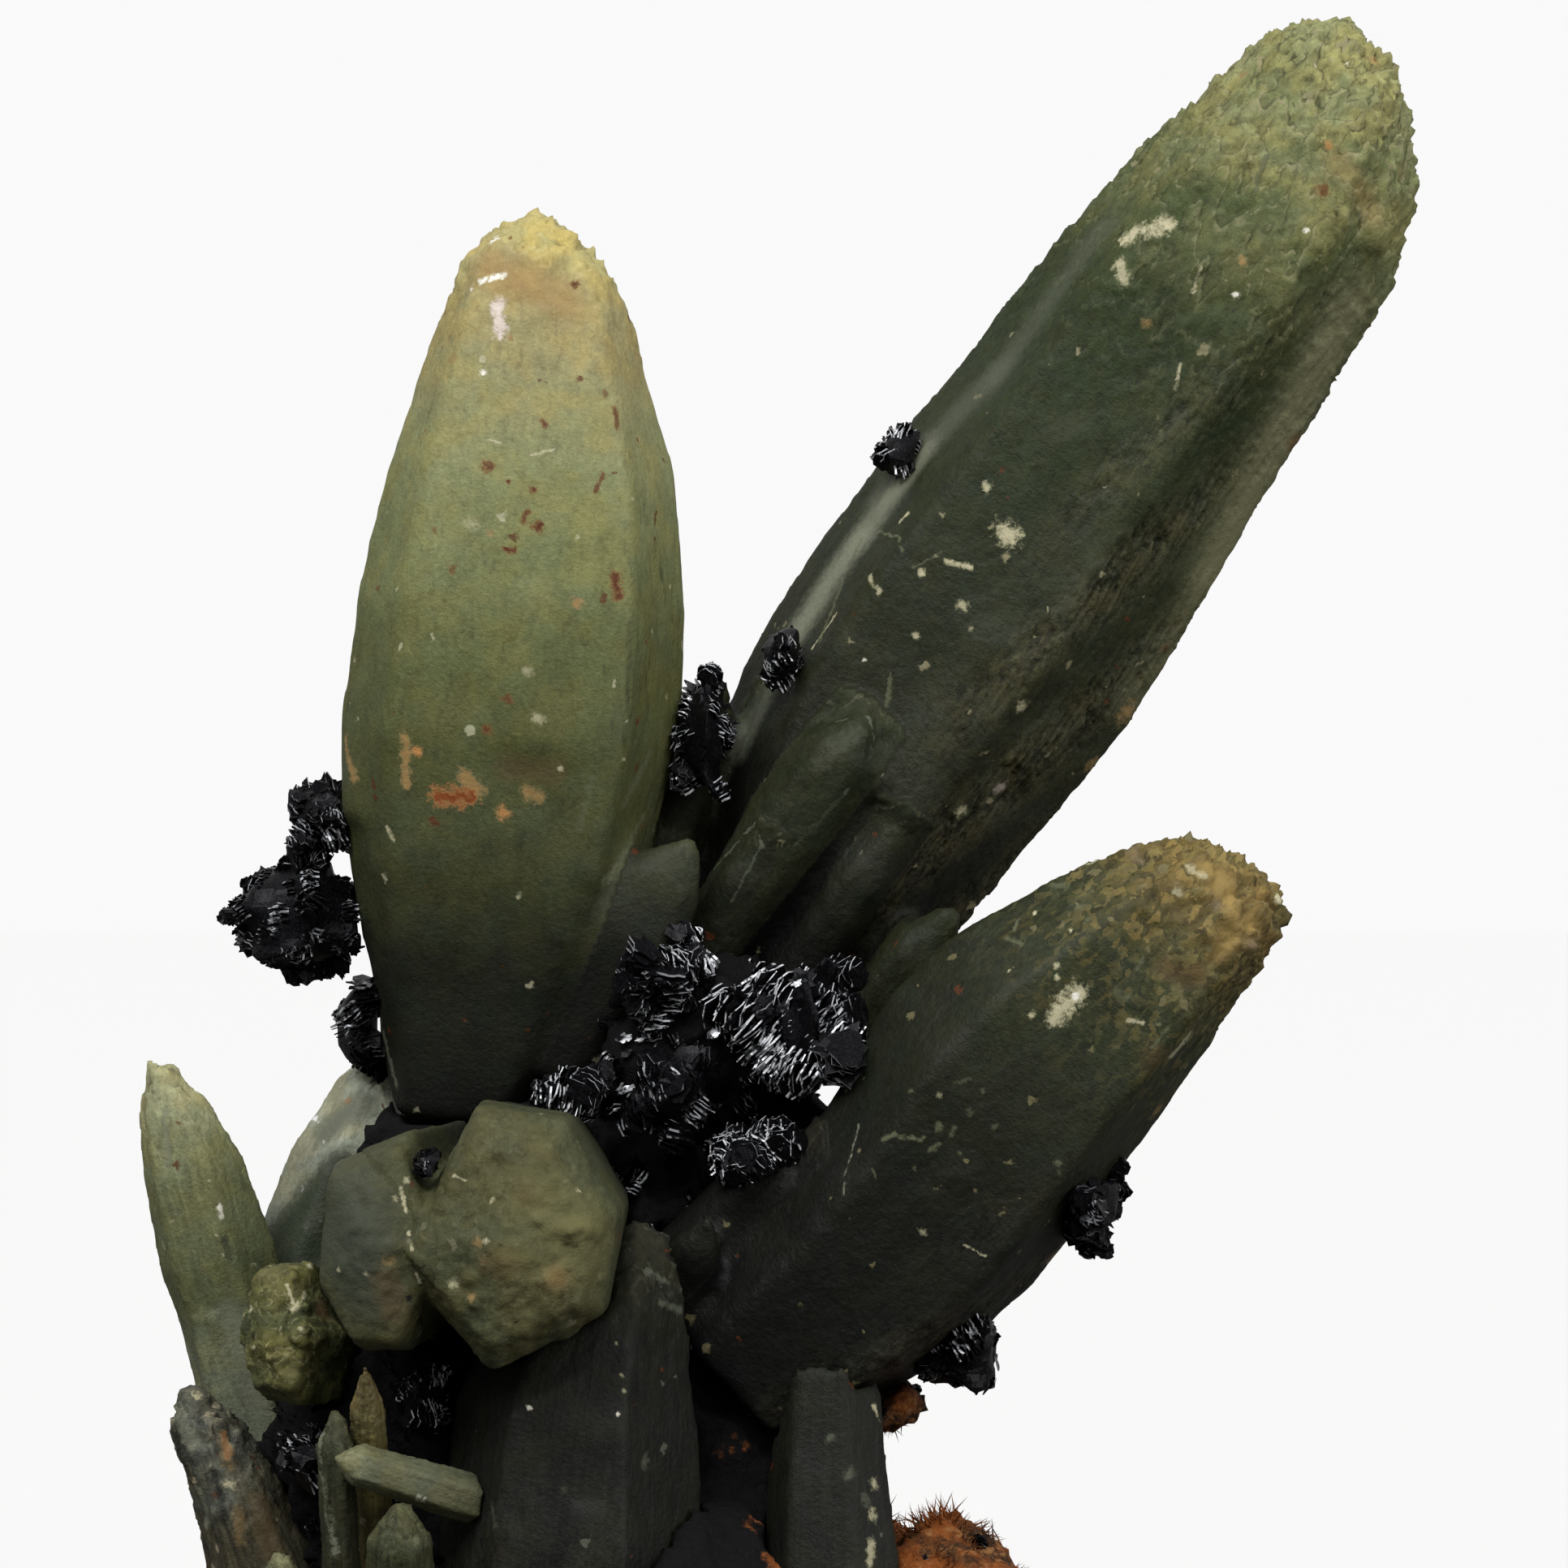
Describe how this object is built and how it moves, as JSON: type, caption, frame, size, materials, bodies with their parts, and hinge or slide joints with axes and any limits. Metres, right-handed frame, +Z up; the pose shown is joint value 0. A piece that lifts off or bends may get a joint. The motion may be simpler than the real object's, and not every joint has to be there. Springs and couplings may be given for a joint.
{
  "type": "prase quartz",
  "caption": "Cluster of tapered six-sided green quartz crystals with black hematite roses on a rusty rock base cut flat to stand on.",
  "frame": {"origin": "the middle of the flat base that the specimen stands on", "axes": "+Z up, the side that the picture shows faces -Y, +X to the right of it"},
  "size_m": [0.098, 0.0599, 0.1382],
  "materials": {
    "pale_prase": "olive green quartz, waxy, rough and tan at the tips",
    "dark_prase": "dark green quartz with fine growth scales, golden at the tips",
    "slate_prase": "dark grey green quartz, waxy",
    "tan_prase": "rust stained quartz, rough",
    "hematite": "black metallic plates with bright edges",
    "matrix_rock": "rough black and rust brown rock"
  },
  "bodies": {
    "root": {"upright_crystal": "pale_prase", "right_crystal": "dark_prase", "leaning_crystal": "dark_prase", "front_crystal": "pale_prase", "lower_front_crystal": "slate_prase", "lower_right_crystal": "slate_prase", "round_crystal": "pale_prase", "left_blade": "pale_prase", "back_left_crystal": "pale_prase", "back_tall_crystal": "dark_prase", "back_side_crystal": "dark_prase", "back_short_crystal": "pale_prase", "back_low_crystal": "dark_prase", "tan_point": "tan_prase", "cross_bar": "pale_prase", "left_column": "pale_prase", "lower_block": "pale_prase", "left_stub": "tan_prase", "pale_chip": "pale_prase", "matrix": "matrix_rock", "rose_ball": "hematite", "rose_upper_left": "hematite", "rose_flat_plate": "hematite", "rose_between": "hematite", "rose_on_edge": "hematite", "rose_row": "hematite", "rose_fan": "hematite", "rose_middle": "hematite", "rose_centre_left": "hematite", "rose_centre": "hematite", "rose_streak": "hematite", "rose_under_tip": "hematite", "rose_under_right": "hematite", "rose_low_left": "hematite", "rose_low_middle": "hematite", "rose_wedge": "hematite", "rose_back": "hematite"}
  },
  "joints": []
}
